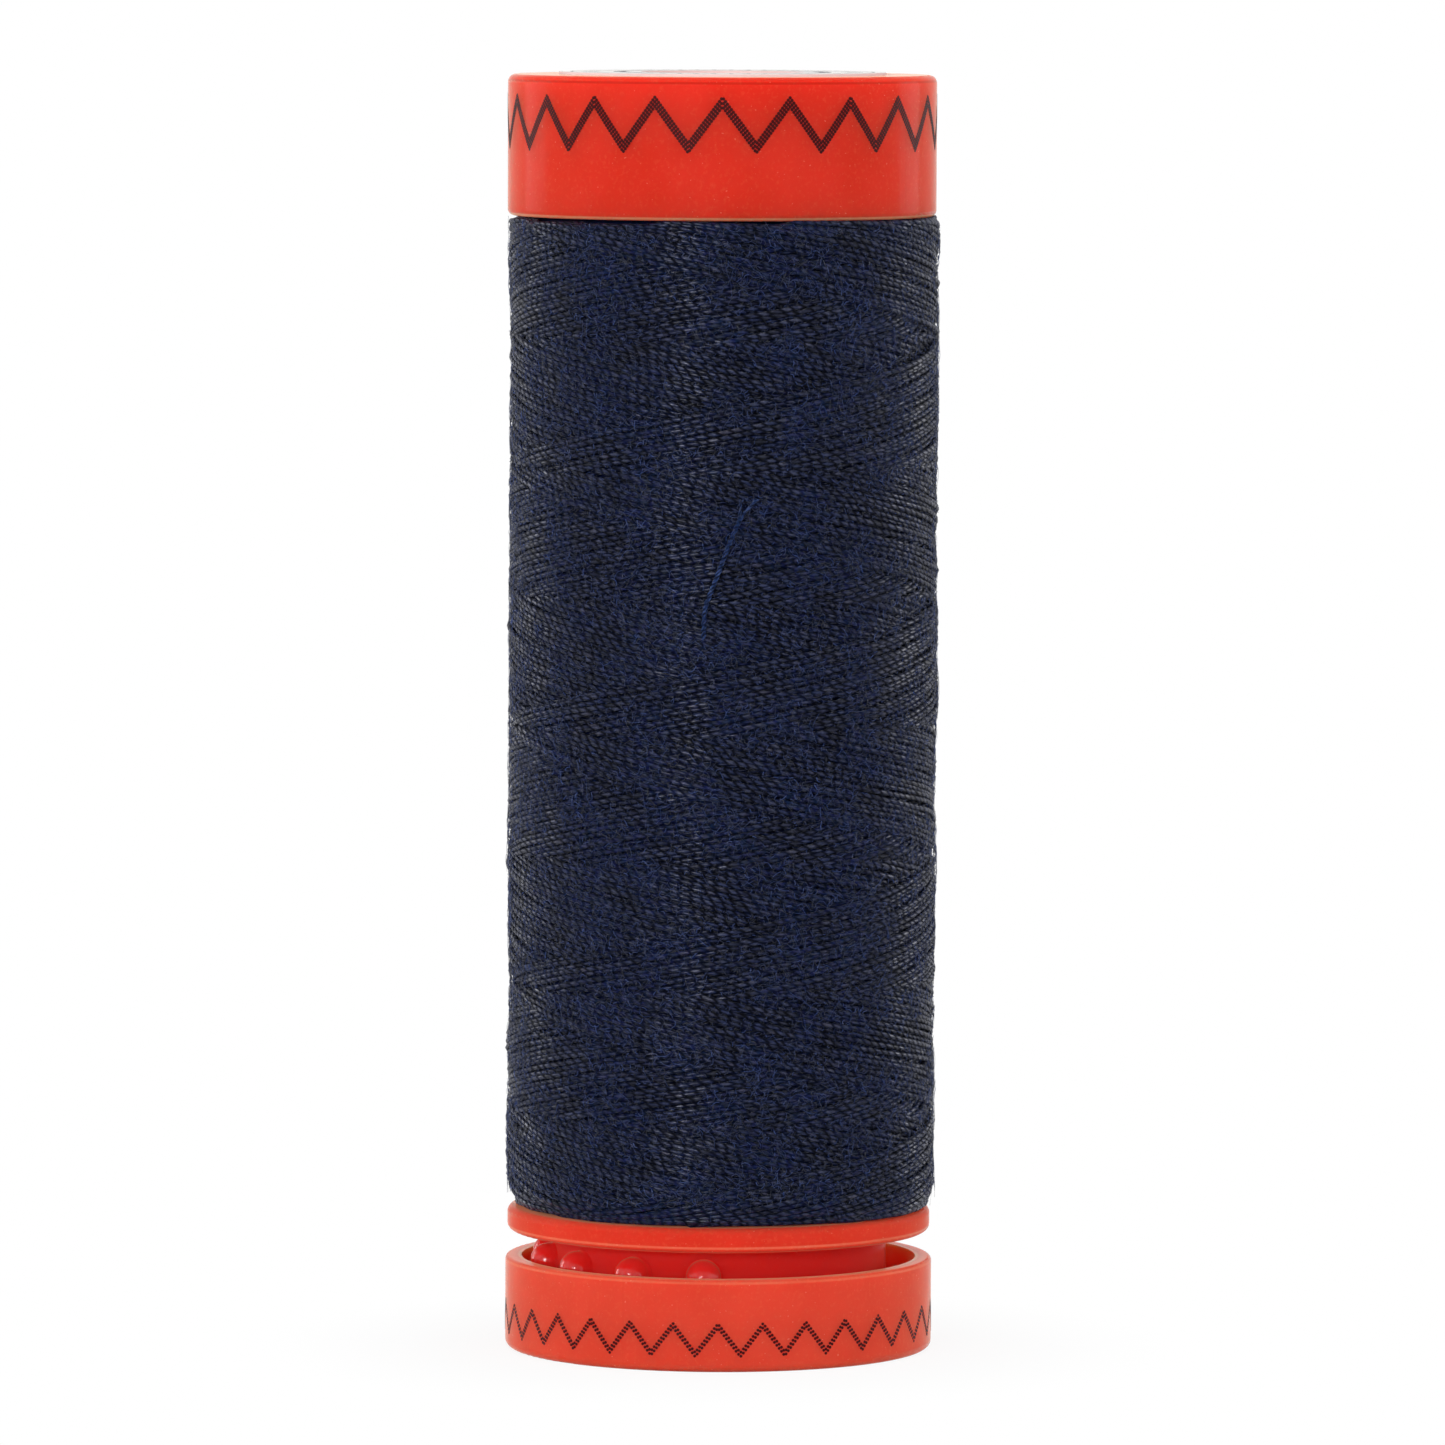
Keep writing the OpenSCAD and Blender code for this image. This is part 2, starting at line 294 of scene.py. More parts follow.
class Recipe(Nodes):
    """A geometry tree with named inputs, which ends in Realize Instances and Set Material."""

    def __init__(self, name, inputs):
        super().__init__(bpy.data.node_groups.new(name, "GeometryNodeTree"))
        self.tree.is_modifier = True
        self.tree.interface.new_socket("Geometry", in_out="INPUT", socket_type="NodeSocketGeometry")
        self.tree.interface.new_socket("Geometry", in_out="OUTPUT", socket_type="NodeSocketGeometry")
        for title, value in inputs.items():
            kind = "NodeSocketInt" if isinstance(value, int) else "NodeSocketFloat"
            socket = self.tree.interface.new_socket(title, in_out="INPUT", socket_type=kind)
            socket.default_value = value
        self.inputs = self.add("NodeGroupInput")

    def __getitem__(self, title):
        return self.inputs[title]

    def random(self, low, high, seed, index):
        """A random number for each `index`."""
        sockets = {2: low, 3: high, "ID": index, "Seed": seed}
        return self.add("FunctionNodeRandomValue", {"data_type": "FLOAT"}, sockets, out=1)

    def line(self, rings):
        """A straight line of so many points, to be bent by put_at()."""
        line = self.add("GeometryNodeCurvePrimitiveLine")
        return self.add("GeometryNodeResampleCurve", {"mode": "COUNT"}, {"Curve": line, "Count": rings})

    def share(self):
        """How far along its line each point is, from 0 to 1."""
        return self.add("GeometryNodeSplineParameter")["Factor"]

    def put_at(self, geometry, place):
        """Moves every point of a geometry to its place."""
        return self.add("GeometryNodeSetPosition", None, {"Geometry": geometry, "Position": place})

    def keep(self, geometry, name, value):
        """Stores a number on each point, for the material."""
        sockets = {"Geometry": geometry, "Name": name, "Value": value}
        return self.add("GeometryNodeStoreNamedAttribute", {"data_type": "FLOAT"}, sockets)

    def sweep(self, curve, radius, sides):
        """A closed round tube along the curve, with `across` running from -1 to 1 over its width."""
        sockets = {"Resolution": sides, "Radius": radius}
        ring = self.add("GeometryNodeCurvePrimitiveCircle", {"mode": "RADIUS"}, sockets)
        place = self.add("ShaderNodeSeparateXYZ", None, {0: self.add("GeometryNodeInputPosition")})
        ring = self.keep(ring, "across", place["Y"] / radius)
        curve = self.add("GeometryNodeSetCurveNormal", {"mode": "Z_UP"}, {"Curve": curve})
        sockets = {"Curve": curve, "Profile Curve": ring, "Fill Caps": True}
        tube = self.add("GeometryNodeCurveToMesh", None, sockets)
        return self.add("GeometryNodeSetShadeSmooth", None, {"Geometry": tube})

    def round_the_axis(self, radius, angle, height):
        """A place by its distance from the axis, its angle from the front (-Y) to +X, and its height."""
        across = radius * self.math("SINE", angle)
        back = -(radius * self.math("COSINE", angle))
        return self.vector(across, back, height)

    def end(self, geometry, material):
        """Closes the recipe: what it makes is real geometry and has this material."""
        real = self.add("GeometryNodeRealizeInstances", None, {"Geometry": geometry})
        done = self.add("GeometryNodeSetMaterial", None, {"Geometry": real, "Material": material})
        self.add("NodeGroupOutput", None, {"Geometry": done})
        return self


def link(piece):
    """Puts an object into the scene."""
    bpy.context.scene.collection.objects.link(piece)
    return piece


def cook(name, recipe, values, body, host=None):
    """Makes a plain mesh from a recipe with these input values, and puts it on its body."""
    maker = link(bpy.data.objects.new(name + "_maker", host or bpy.data.meshes.new(name + "_host")))
    modifier = maker.modifiers.new("recipe", "NODES")
    modifier.node_group = recipe.tree
    for item in recipe.tree.interface.items_tree:
        if item.in_out == "INPUT" and item.name in values:
            modifier[item.identifier] = values[item.name]
    made = maker.evaluated_get(bpy.context.evaluated_depsgraph_get())
    mesh = bpy.data.meshes.new_from_object(made)
    maker.modifiers.remove(modifier)
    bpy.data.objects.remove(maker)
    piece = link(bpy.data.objects.new(name, mesh))
    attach(piece, body)
    return piece


class Finish(Nodes):
    """A material: a Principled surface whose constants are set on its own sockets."""

    def __init__(self, name, **constants):
        self.material = bpy.data.materials.new(name)
        self.material.use_nodes = True
        super().__init__(self.material.node_tree)
        self.surface = self.tree.nodes["Principled BSDF"]
        for title, value in constants.items():
            self.surface.inputs[title.replace("_", " ")].default_value = value
        self.place = self.add("ShaderNodeTexCoord")["Object"]

    def feed(self, title, value):
        """Links a value that changes over the surface."""
        self.tree.links.new(value.socket, self.surface.inputs[title])

    def mix(self, share, low, high):
        """A colour between `low` and `high`."""
        sockets = {"Factor": share, 6: low, 7: high}
        return self.add("ShaderNodeMix", {"data_type": "RGBA"}, sockets, out=2)

    def attribute(self, name):
        """A number that a recipe stored on the piece."""
        return self.add("ShaderNodeAttribute", {"attribute_name": name}, out=2)

    def bump(self, height, distance):
        """Relief that stands `distance` high where `height` is 1."""
        sockets = {"Height": height, "Distance": distance, "Strength": 1.0}
        self.feed("Normal", self.add("ShaderNodeBump", None, sockets))


def rgb(red, green, blue, alpha=1.0):
    """A colour from its usual 0 to 255 values, as the shader's light levels."""
    def level(value):
        share = value / 255
        return share / 12.92 if share <= 0.04045 else ((share + 0.055) / 1.055) ** 2.4
    return (level(red), level(green), level(blue), alpha)


# ================================================================ finishes


# A noise's scale is how many of its waves go into a metre.

# The red plastic's tones: its grain, its specks, the painted highlights and painted shade along its
# edges, the painted glow inside the base's cup and the painted light on the neck below the flange.
# Then a mould line's and a painted edge line's half width, where it begins to fade and where it
# ends, and how far down inside the cup the painted glow reaches.
GRAIN_TONE = rgb(255, 150, 100)
SPECK_TONE = rgb(255, 200, 170)
PAINTED_HIGHLIGHT_EDGE = rgb(255, 170, 130)
PAINTED_SHADE_EDGE = rgb(120, 10, 8)
PAINTED_GLOW_TONE = rgb(255, 165, 118)
NECK_PAINTED_LIGHT = rgb(255, 42, 42)
MOULD_LINE = (0.02 * MM, 0.07 * MM)
PAINTED_EDGE_LINE = (0.03 * MM, 0.08 * MM)
PAINTED_GLOW_DEPTH = 3 * MM


def moulded_red(name, colour, depth, spread, shine, seam, painted_edge_lines=(), cup=False):
    """Satin polypropylene that lets light in by about `depth`, with a mould line at angle `seam`.

    `spread` is each colour's share of that depth. The edge lines are heights of thin rings round the
    part. Each is painted paler by the share given with it, as a highlight where the edge catches the
    light, or, below 0, painted darker as shade. The inside of a `cup` is painted paler, a painted
    glow for the light that comes through its thin wall. On the other parts the neck below the flange
    is painted a brighter, purer red, as painted light in its shaded gap, and its bumps are polished."""
    finish = Finish(
        name, Subsurface_Weight=1.0, Subsurface_Radius=spread, Subsurface_Scale=depth,
        IOR=1.49, Specular_IOR_Level=shine, Coat_IOR=1.49, Coat_Roughness=0.1,
        Sheen_Weight=0.32, Sheen_Roughness=0.35, Sheen_Tint=(1.0, 0.72, 0.40, 1.0),
    )
    clouds = finish.noise(finish.place, 260.0, 3.0)
    grain = finish.noise(finish.place, 5200.0, 3.0, 0.6)
    drawn_up = finish.vector_math("MULTIPLY", finish.place, (900.0, 900.0, 160.0))
    flow = finish.noise(drawn_up, 1.0, 3.0)
    specks = finish.noise(finish.place, 9000.0, 0.0).step(0.80, 0.86)
    place = finish.add("ShaderNodeSeparateXYZ", None, {0: finish.place})
    angle = finish.math("ARCTAN2", place["X"], -place["Y"])
    line = 1 - (abs(angle - seam) * HEAD_R).step(*MOULD_LINE)

    light = tuple(min(1.0, 1.03 * part + 0.004) for part in colour[:3]) + (1.0,)
    deep = tuple(0.93 * part for part in colour[:3]) + (1.0,)
    paint = finish.mix(clouds.step(0.3, 0.7), deep, light)
    paint = finish.mix(grain.step(0.50, 0.75) * 0.10, paint, GRAIN_TONE)
    paint = finish.mix(specks * 0.25, paint, SPECK_TONE)
    paint = finish.mix(line * 0.25, paint, deep)
    # Thin rings round the part: the paler ones are painted highlights where an edge catches the light,
    # the darker ones are painted shade.
    for height, paler in painted_edge_lines:
        ring = 1 - abs(place["Z"] - height).step(*PAINTED_EDGE_LINE)
        painted_edge_tone = PAINTED_HIGHLIGHT_EDGE if paler > 0 else PAINTED_SHADE_EDGE
        paint = finish.mix(ring * (0.6 + 0.4 * grain) * abs(paler), paint, painted_edge_tone)
    out = finish.from_axis(place)
    if cup:
        # The inside of the cup is painted paler: a painted glow for the light that comes through its
        # thin wall into the shaded cup.
        inside = 1 - out.step(BASE_R - RIM_WALL, BASE_R - 0.7 * RIM_WALL)
        painted_glow = inside * place["Z"].step(RIM_HIGH - PAINTED_GLOW_DEPTH, RIM_HIGH)
        paint = finish.mix(painted_glow, paint, PAINTED_GLOW_TONE)
    else:
        bumps = out.step(NECK_R + 0.1 * MM, NECK_R + 0.3 * MM)
        # Below the flange the neck is painted a brighter, purer red: painted light in the shaded gap
        # between flange and rim.
        below = 1 - place["Z"].step(FLANGE_LOW - 0.4 * MM, FLANGE_LOW)
        paint = finish.mix(0.85 * below, paint, NECK_PAINTED_LIGHT)
        finish.feed("Coat Weight", 0.6 * bumps * below)
    finish.feed("Base Color", paint)
    finish.feed("Roughness", 0.08 + 0.06 * flow + 0.05 * grain)
    finish.bump(0.55 * grain + 0.35 * flow + 0.9 * line, 0.0025 * MM)
    return finish.material


def printed_ink():
    """Dark ink, a little patchy where it took to the plastic."""
    finish = Finish("dark_ink", IOR=1.45, Specular_IOR_Level=0.12)
    patches = finish.noise(finish.place, 6500.0, 2.0)
    finish.feed("Base Color", finish.mix(patches, rgb(40, 6, 9), rgb(74, 12, 12)))
    finish.feed("Roughness", 0.42 + 0.25 * patches)
    finish.bump(patches, 0.004 * MM)
    return finish.material


def label_paper():
    """White coated paper with a plain printed ring and ticks, like a dial's."""
    finish = Finish("label_paper", IOR=1.45)
    place = finish.add("ShaderNodeSeparateXYZ", None, {0: finish.place})
    out = finish.from_axis(place)
    angle = finish.math("ARCTAN2", place["X"], place["Y"]) / TURN
    drawn_out = finish.vector_math("MULTIPLY", finish.place, (2600.0, 900.0, 2600.0))
    fibres = finish.noise(drawn_out, 1.0, 4.0, 0.6)
    ring = ring_mask(out, *BROAD_RING)
    hair = ring_mask(out, *HAIRLINE)
    ticks = 1 - abs(finish.math("FRACT", angle * TICKS) - 0.5).step(0.10, 0.16)
    ticks = ticks * ring_mask(out, *TICK_RING)
    print_mask = finish.math("MAXIMUM", finish.math("MAXIMUM", ring, hair), ticks)
    worn = print_mask * (0.55 + 0.45 * fibres.step(0.35, 0.55))
    paper = finish.mix(fibres, rgb(232, 231, 227), rgb(250, 249, 246))
    finish.feed("Base Color", finish.mix(worn, paper, rgb(46, 50, 62)))
    finish.feed("Roughness", 0.45 + 0.2 * fibres)
    finish.bump(fibres, 0.012 * MM)
    return finish.material


def ring_mask(out, inner, outer):
    """1 between two radii, with slightly soft edges."""
    begins = out.step(inner - PRINT_EDGE, inner + PRINT_EDGE)
    ends = out.step(outer - PRINT_EDGE, outer + PRINT_EDGE)
    return begins * (1 - ends)


def spun_polyester(name, shades, gloss):
    """Two-ply sewing thread; each ply's crown has a colour of its own from the ramp `shades`.

    The paint is darker in the grooves between the plies and towards each thread's edges, where it
    lies against its neighbours: painted shade. `gloss` is how strongly the crowns glint. Where fluff
    has matted over the thread, the twist hardly shows and the surface is a dull blue grain."""
    finish = Finish(
        name, IOR=1.5, Specular_IOR_Level=0.06, Coat_IOR=1.5, Coat_Roughness=0.24,
        Sheen_Weight=0.14, Sheen_Roughness=0.22, Sheen_Tint=(0.8, 0.84, 1.0, 1.0),
    )
    along = finish.attribute("along")
    tint = finish.attribute("tint")
    side = finish.math("MINIMUM", finish.math("MAXIMUM", finish.attribute("across"), -0.98), 0.98)
    middle = 1 - side * side
    unevenness = finish.noise(finish.vector(along / (1.3 * MM), tint * 60.0, 0.0), 1.0, 1.0) * 0.45
    phase = PLIES * (along / PLY_PITCH + tint * 5.0 + unevenness - finish.math("ARCSINE", side) / TURN)
    ply = finish.math("SINE", finish.math("FRACT", phase) * (TURN / 2))
    pick = finish.add("ShaderNodeTexWhiteNoise", {"noise_dimensions": "1D"}, {
        "W": finish.math("FLOOR", phase) + finish.math("FLOOR", tint * 40.0) * 0.37,
    })
    filaments = finish.noise(finish.vector(phase * 3.0, along / (0.16 * MM), side * 2.5), 1.0, 2.0, 0.7)
    flattened = finish.vector_math("MULTIPLY", finish.place, (5200.0, 5200.0, 7600.0))
    fluff = finish.noise(flattened, 1.0, 2.0, 0.7)
    matted = finish.noise(finish.place, MATTING, 2.0).step(0.38, 0.64)

    level = pick * 0.55 + filaments * 0.40 + tint * 0.2 - 0.1
    body = finish.add("ShaderNodeValToRGB", {"stops": shades}, {"Fac": level})
    hue = finish.noise(finish.place, 3400.0, 1.0).step(0.35, 0.65)
    body = finish.mix(0.15 + 0.45 * matted, body, finish.mix(hue, rgb(6, 29, 56), rgb(17, 24, 74)))
    # Painted shade: the paint is darker in the grooves between the plies and towards each thread's
    # edges, where it lies against its neighbours. The grain is the fluff's own.
    crown = (ply * (0.25 + 0.75 * middle)).step(0.20, 0.90)
    grain = fluff.step(0.34, 0.66)
    bare = (0.16 + 0.84 * crown) * (0.45 + 0.65 * grain)
    dull = 0.10 + 0.26 * crown + 0.90 * grain
    fluff_and_painted_shade = bare * (1 - matted) + dull * matted
    finish.feed("Base Color", finish.mix(fluff_and_painted_shade, (0.0, 0.0, 0.0, 1.0), body))
    finish.feed("Roughness", 0.7 - 0.2 * ply)
    glint = crown * (0.55 + 0.45 * level.step(0.48, 0.72)) * (0.30 + 0.70 * grain)
    finish.feed("Coat Weight", glint * (1 - 0.35 * matted) * gloss)
    finish.bump(ply * 0.7 + filaments * 0.4 + fluff * 0.7, 0.07 * MM)
    return finish.material


def loose_fibre(name, low, high):
    """A loose fibre: each has a colour of its own between `low` and `high`."""
    finish = Finish(name, IOR=1.5, Roughness=0.4, Specular_IOR_Level=0.6)
    finish.feed("Base Color", finish.mix(finish.attribute("tint"), low, high))
    return finish.material


# ================================================================ winding


def dwell_angles(low, high):
    """How far the spool turns while the thread reverses at the head and at the flange."""
    rise = LAY_PITCH / TURN
    at_head = (-2 * (high - CROSSING_Z) / rise) % TURN
    climb = (high - low) / rise
    at_flange = (-TURN / PASSES - 2 * climb - at_head) % TURN
    return climb, at_head, at_flange


def uneven_build(recipe, angle, height):
    """How much the winding stands above or below its nominal radius at a place."""
    around = recipe.vector(recipe.math("COSINE", angle) * 1.3, recipe.math("SINE", angle) * 1.3,
                           height / (7 * MM))
    swell = (recipe.noise(around, 1.0, 4.0, 0.7) - 0.5) * recipe["Swell"]
    return swell + recipe["Off centre"] * recipe.math("SINE", angle)


def wound_thread(material):
    """One thread that climbs and comes down again and again, each pass just beside the pass before.

    Where two passes cross, the later one lies on top, so each pass dips under the later ones and
    rises over the earlier ones twice in every lay pitch."""
    recipe = Recipe("wound_thread", {
        "First angle": 0.0, "Angle": 1.0, "Rings": 100, "Rise": 1.0, "Climb": 1.0,
        "Dwell at head": 0.0, "Dwell at flange": 0.0, "Low": 0.0, "High": 1.0, "Radius": 1.0,
        "Start angle": 0.0, "Crossing height": 0.0, "Crossing angle": 0.0, "Thread": 0.1,
        "Layer step": 0.1, "Wander": 0.0, "Bunching": 0.0, "Proud": 0.0, "Swell": 0.0, "Off centre": 0.0,
        "Slack": 0.0, "Sides": 6,
    })
    wound = recipe["First angle"] + recipe["Angle"] * recipe.share()
    half_dwell = recipe["Dwell at flange"] / 2
    top_dwell = recipe["Dwell at head"]
    cycle_angle = 2 * recipe["Climb"] + recipe["Dwell at flange"] + top_dwell
    cycle = recipe.math("FLOOR", wound / cycle_angle)
    turned = wound - cycle * cycle_angle

    rise = recipe["Rise"]
    going_up = recipe["Low"] + rise * (turned - half_dwell)
    going_down = recipe["High"] - rise * (turned - half_dwell - recipe["Climb"] - top_dwell)
    height = recipe.math("SMOOTH_MIN", going_up, going_down, TURN_BACK)
    height = recipe.math("SMOOTH_MIN", height, recipe["High"], TURN_BACK)
    height = recipe.math("SMOOTH_MAX", height, recipe["Low"], TURN_BACK)
    is_up = recipe.math("LESS_THAN", turned, half_dwell + recipe["Climb"] + top_dwell / 2)

    angle = wound + recipe["Start angle"]
    seen = angle - recipe["Crossing angle"]
    lead = (height - recipe["Crossing height"]) / rise
    up_place = recipe.math("FRACT", (seen - lead) / TURN)
    down_place = recipe.math("FRACT", (seen + lead) / TURN)
    own = up_place * is_up + down_place * (1 - is_up)
    other = down_place * is_up + up_place * (1 - is_up)

    over = other.step(own - DIVE / 2, own + DIVE / 2)
    over = over * (1 - other.step(0.99 - DIVE, 0.99))
    sunk = (1 - over) * (1 - 1.2 * over)
    # Noises are read on a circle, so that they join up after a turn. Along its axis each pass has a
    # place of its own, far from its neighbours' for what it does alone, and near for bunching.
    side = recipe.vector(recipe.math("COSINE", angle) * 2.4, recipe.math("SINE", angle) * 2.4,
                         cycle * 7.31 + is_up * 3.7)
    wander = (recipe.noise(side, 1.0, 3.0) - 0.5) * recipe["Wander"]
    bunch = recipe.vector(recipe.math("COSINE", angle) * 1.1, recipe.math("SINE", angle) * 1.1,
                          cycle * 0.45 + is_up * 9.3)
    wander = wander + (recipe.noise(bunch, 1.0, 2.0) - 0.5) * recipe["Bunching"]
    swell = uneven_build(recipe, angle, height)
    slack = (own.step(*GROOVE) - 0.5) * recipe["Slack"] * (1 - is_up)
    from_flange = recipe.math("MINIMUM", (height - recipe["Low"]) / FLANGE_END_HEIGHT, 1.0)
    from_head = recipe.math("MINIMUM", (recipe["High"] - height) / HEAD_END_HEIGHT, 1.0)
    rounding = (1 - from_flange) ** 2.0 * FLANGE_END_DROP + (1 - from_head) ** 2.0 * HEAD_END_DROP
    radius = recipe["Radius"] - recipe["Thread"] / 2 - sunk * recipe["Layer step"] - rounding
    proud = recipe.noise(recipe.vector(cycle * 3.3 + is_up * 1.7, angle * 0.9, 4.0), 1.0, 2.0) - 0.5
    radius = radius + swell + proud * recipe["Proud"]

    line = recipe.line(recipe["Rings"])
    line = recipe.put_at(line, recipe.round_the_axis(radius, angle, height + wander + slack))
    line = recipe.keep(line, "along", recipe.add("GeometryNodeSplineParameter")["Length"])
    tint = recipe.noise(recipe.vector(cycle * 5.17 + is_up * 2.3, wound * 0.35, 0.0), 1.0, 2.0)
    line = recipe.keep(line, "tint", tint)
    return recipe.end(recipe.sweep(line, recipe["Thread"] / 2, recipe["Sides"]), material)


def make_winding(material):
    """The outer layer, in parts that follow on from each other so that none has too many faces."""
    low = FLANGE_TOP + END_SPACE + THREAD_D / 2
    high = HEAD_BOTTOM - END_SPACE - THREAD_D / 2
    rise = LAY_PITCH / TURN
    climb, at_head, at_flange = dwell_angles(low, high)
    cycle_angle = 2 * climb + at_head + at_flange
    start = CROSSING_ANGLE + (low - CROSSING_Z) / rise - at_flange / 2 - TURN / PASSES / 2
    recipe = wound_thread(material)
    part_angle = cycle_angle * PASSES / WINDING_PARTS
    pieces = []
    for part in range(WINDING_PARTS):
        pieces.append(cook(f"winding_{part + 1}", recipe, {
            "First angle": part * part_angle, "Angle": part_angle,
            "Rings": int(part_angle / TURN * RINGS_PER_TURN), "Rise": rise, "Climb": climb,
            "Dwell at head": at_head, "Dwell at flange": at_flange, "Low": low, "High": high,
            "Radius": WIND_R, "Start angle": start, "Crossing height": CROSSING_Z,
            "Crossing angle": CROSSING_ANGLE, "Thread": THREAD_D, "Layer step": LAYER_STEP,
            "Wander": WANDER, "Bunching": BUNCHING, "Proud": PROUD, "Swell": SWELL,
            "Off centre": OFF_CENTRE, "Slack": SLACK, "Sides": THREAD_SIDES,
        }, "spool"))
    return pieces


def make_under_layers(material):
    """The layers below the outer one: a closed ribbed drum that shows only between the threads."""
    inner = CORE_R - DRUM_BORE_IN
    outer = WIND_R - THREAD_D - LAYER_STEP - DRUM_CLEARANCE
    ribs = int((HEAD_BOTTOM - FLANGE_TOP) / DRUM_RIB_PITCH)
    outline = [(inner, FLANGE_TOP)]
    for rib in range(2 * ribs + 1):
        share = rib / (2 * ribs)
        height = FLANGE_TOP + (HEAD_BOTTOM - FLANGE_TOP) * share
        from_end = min(height - FLANGE_TOP, HEAD_BOTTOM - height)
        rounding = DRUM_END_DROP * max(0.0, 1 - from_end / DRUM_END_HEIGHT) ** 2
        outline.append((outer - rounding - (DRUM_RIB_DEPTH if rib % 2 else 0.0), height))
    outline.append((inner, HEAD_BOTTOM))
    return lathe("under_layers", outline, DRUM_STEPS, material, "spool")


def lathe(name, outline, steps, material, body):
    """A closed solid of revolution through the outline's (radius, height) points."""
    mesh = bpy.data.meshes.new(name)
    vertices = []
    for k in range(steps):
        angle = TURN * k / steps
        vertices += [(r * math.sin(angle), -r * math.cos(angle), z) for r, z in outline]
    n = len(outline)
    faces = []
    for k in range(steps):
        a, b = k * n, (k + 1) % steps * n
        faces += [(a + i, b + i, b + (i + 1) % n, a + (i + 1) % n) for i in range(n)]
    mesh.from_pydata(vertices, [], faces)
    shape = bmesh.new()
    shape.from_mesh(mesh)
    bmesh.ops.recalc_face_normals(shape, faces=shape.faces)
    shape.to_mesh(mesh)
    shape.free()
    mesh.shade_smooth()
    mesh.materials.append(material)
    piece = link(bpy.data.objects.new(name, mesh))
    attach(piece, body)
    return piece


# ================================================================ fuzz


def stray_fibres(material):
    """Fine curved hairs that lie on the winding in every direction, densest where it is matted."""
    recipe = Recipe("stray_fibres", {
        "Fibres": 100, "Shortest": 0.001, "Longest": 0.002, "Thickness": 0.0001, "Radius": 1.0,
        "Lift": 0.0001, "Sink": 0.0, "Low": 0.0, "High": 1.0, "Slope": 1.0, "Swell": 0.0,
        "Off centre": 0.0, "Seed": 1,
    })
    line = recipe.line(HAIR_POINTS)
    copies = recipe.add("GeometryNodeDuplicateElements", {"domain": "SPLINE"}, {
        "Geometry": line, "Amount": recipe["Fibres"],
    })
    index = copies["Duplicate Index"]
    seed = recipe["Seed"]
    angle = recipe.random(0.0, TURN, seed + 1, index)
    height = recipe.random(recipe["Low"], recipe["High"], seed + 2, index)
    spot = recipe.round_the_axis(recipe["Radius"], angle, height)
    matted = recipe.noise(spot, MATTING, 2.0).step(0.36, 0.62)
    length = recipe.random(recipe["Shortest"], recipe["Longest"], seed, index) * (0.45 + 0.75 * matted)
    slope = recipe.random(-1.0, 1.0, seed + 3, index) * recipe["Slope"]
    curl = recipe.random(-1.3, 1.3, seed + 4, index)
    wave = recipe.random(0.0, TURN, seed + 5, index)
    lift = recipe.random(0.0, 1.0, seed + 6, index) ** 3.0 * recipe["Lift"]
    place = recipe.share() - 0.5
    bow = curl * place * place + recipe.math("SINE", place * 5.0 + wave) * 0.05
    level = recipe.math("COSINE", slope)
    steep = recipe.math("SINE", slope)
    sideways = length * (place * level - bow * steep)
    upward = length * (place * steep + bow * level)
    turned = angle + sideways / recipe["Radius"]
    raised = height + upward
    out = recipe["Radius"] + uneven_build(recipe, turned, raised) + lift * (1 - 4 * place * place)
    out = out - (1 - matted) * recipe["Sink"]
    hairs = recipe.put_at(copies, recipe.round_the_axis(out, turned, raised))
    hairs = recipe.keep(hairs, "tint", recipe.random(0.0, 1.0, seed + 7, index) ** 2.0)
    return recipe.end(recipe.sweep(hairs, recipe["Thickness"] / 2, HAIR_SIDES), material)


def make_fibres(material):
    """The fuzz, one layer after another."""
    recipe = stray_fibres(material)
    for layer, (count, stand_off, thickness, longest) in enumerate(FUZZ_LAYERS):
        cook(f"fuzz_{layer + 1}", recipe, {
            "Low": FLANGE_TOP + BARE_AT_FLANGE, "High": HEAD_BOTTOM - BARE_AT_HEAD,
            "Radius": WIND_R + stand_off, "Fibres": count, "Shortest": SHORTEST_HAIR,
            "Longest": longest, "Thickness": thickness, "Lift": HAIR_LIFT, "Sink": HAIR_SINK,
            "Slope": HAIR_SLOPE, "Swell": SWELL, "Off centre": OFF_CENTRE,
            "Seed": FIRST_SEED + SEED_STEP * layer,
        }, "spool")


# ================================================================ loose end


# The loose end's route over the front, and the two prongs that it splits into, as points
# (sideways, height, stand-off from the winding) in millimetres.
LOOSE_END = [(-0.86, 34.9, -0.35), (-0.80, 35.6, 0.02), (-0.80, 36.4, 0.16), (-0.78, 37.1, 0.18),
             (-0.45, 37.9, 0.20), (0.04, 39.2, 0.22), (0.55, 40.6, 0.22), (0.98, 41.5, 0.22)]
LONG_PRONG = [(0.98, 41.5, 0.22), (1.35, 41.95, 0.24), (1.74, 42.35, 0.28)]
SHORT_PRONG = [(0.86, 41.2, 0.22), (0.93, 41.8, 0.24), (0.95, 42.35, 0.24)]

# Each strand's name, route, number of plies, radius of a ply, length of a twist, rings along it, and
# how far its plies fray apart at the end.
PLY_SIDES = 8
STRANDS = [
    ("loose_end", LOOSE_END, 3, 0.062 * MM, 1.05 * MM, 90, 0.0),
    ("loose_end_prong", LONG_PRONG, 5, 0.0434 * MM, 1.6 * MM, 24, 0.07 * MM),
    ("loose_end_split", SHORT_PRONG, 3, 0.0372 * MM, 1.6 * MM, 24, 0.08 * MM),
]


def route_curve(name, route):
    """A smooth curve that follows the points of a route."""
    curve = bpy.data.curves.new(name, "CURVE")
    curve.dimensions = "3D"
    spline = curve.splines.new("NURBS")
    spline.points.add(len(route) - 1)
    spline.order_u = 4
    spline.use_endpoint_u = True
    spline.resolution_u = 24
    for point, (side, height, off) in zip(spline.points, route):
        radius = WIND_R + off * MM
        angle = side * MM / radius
        point.co = (radius * math.sin(angle), -radius * math.cos(angle), height * MM, 1.0)
    return curve


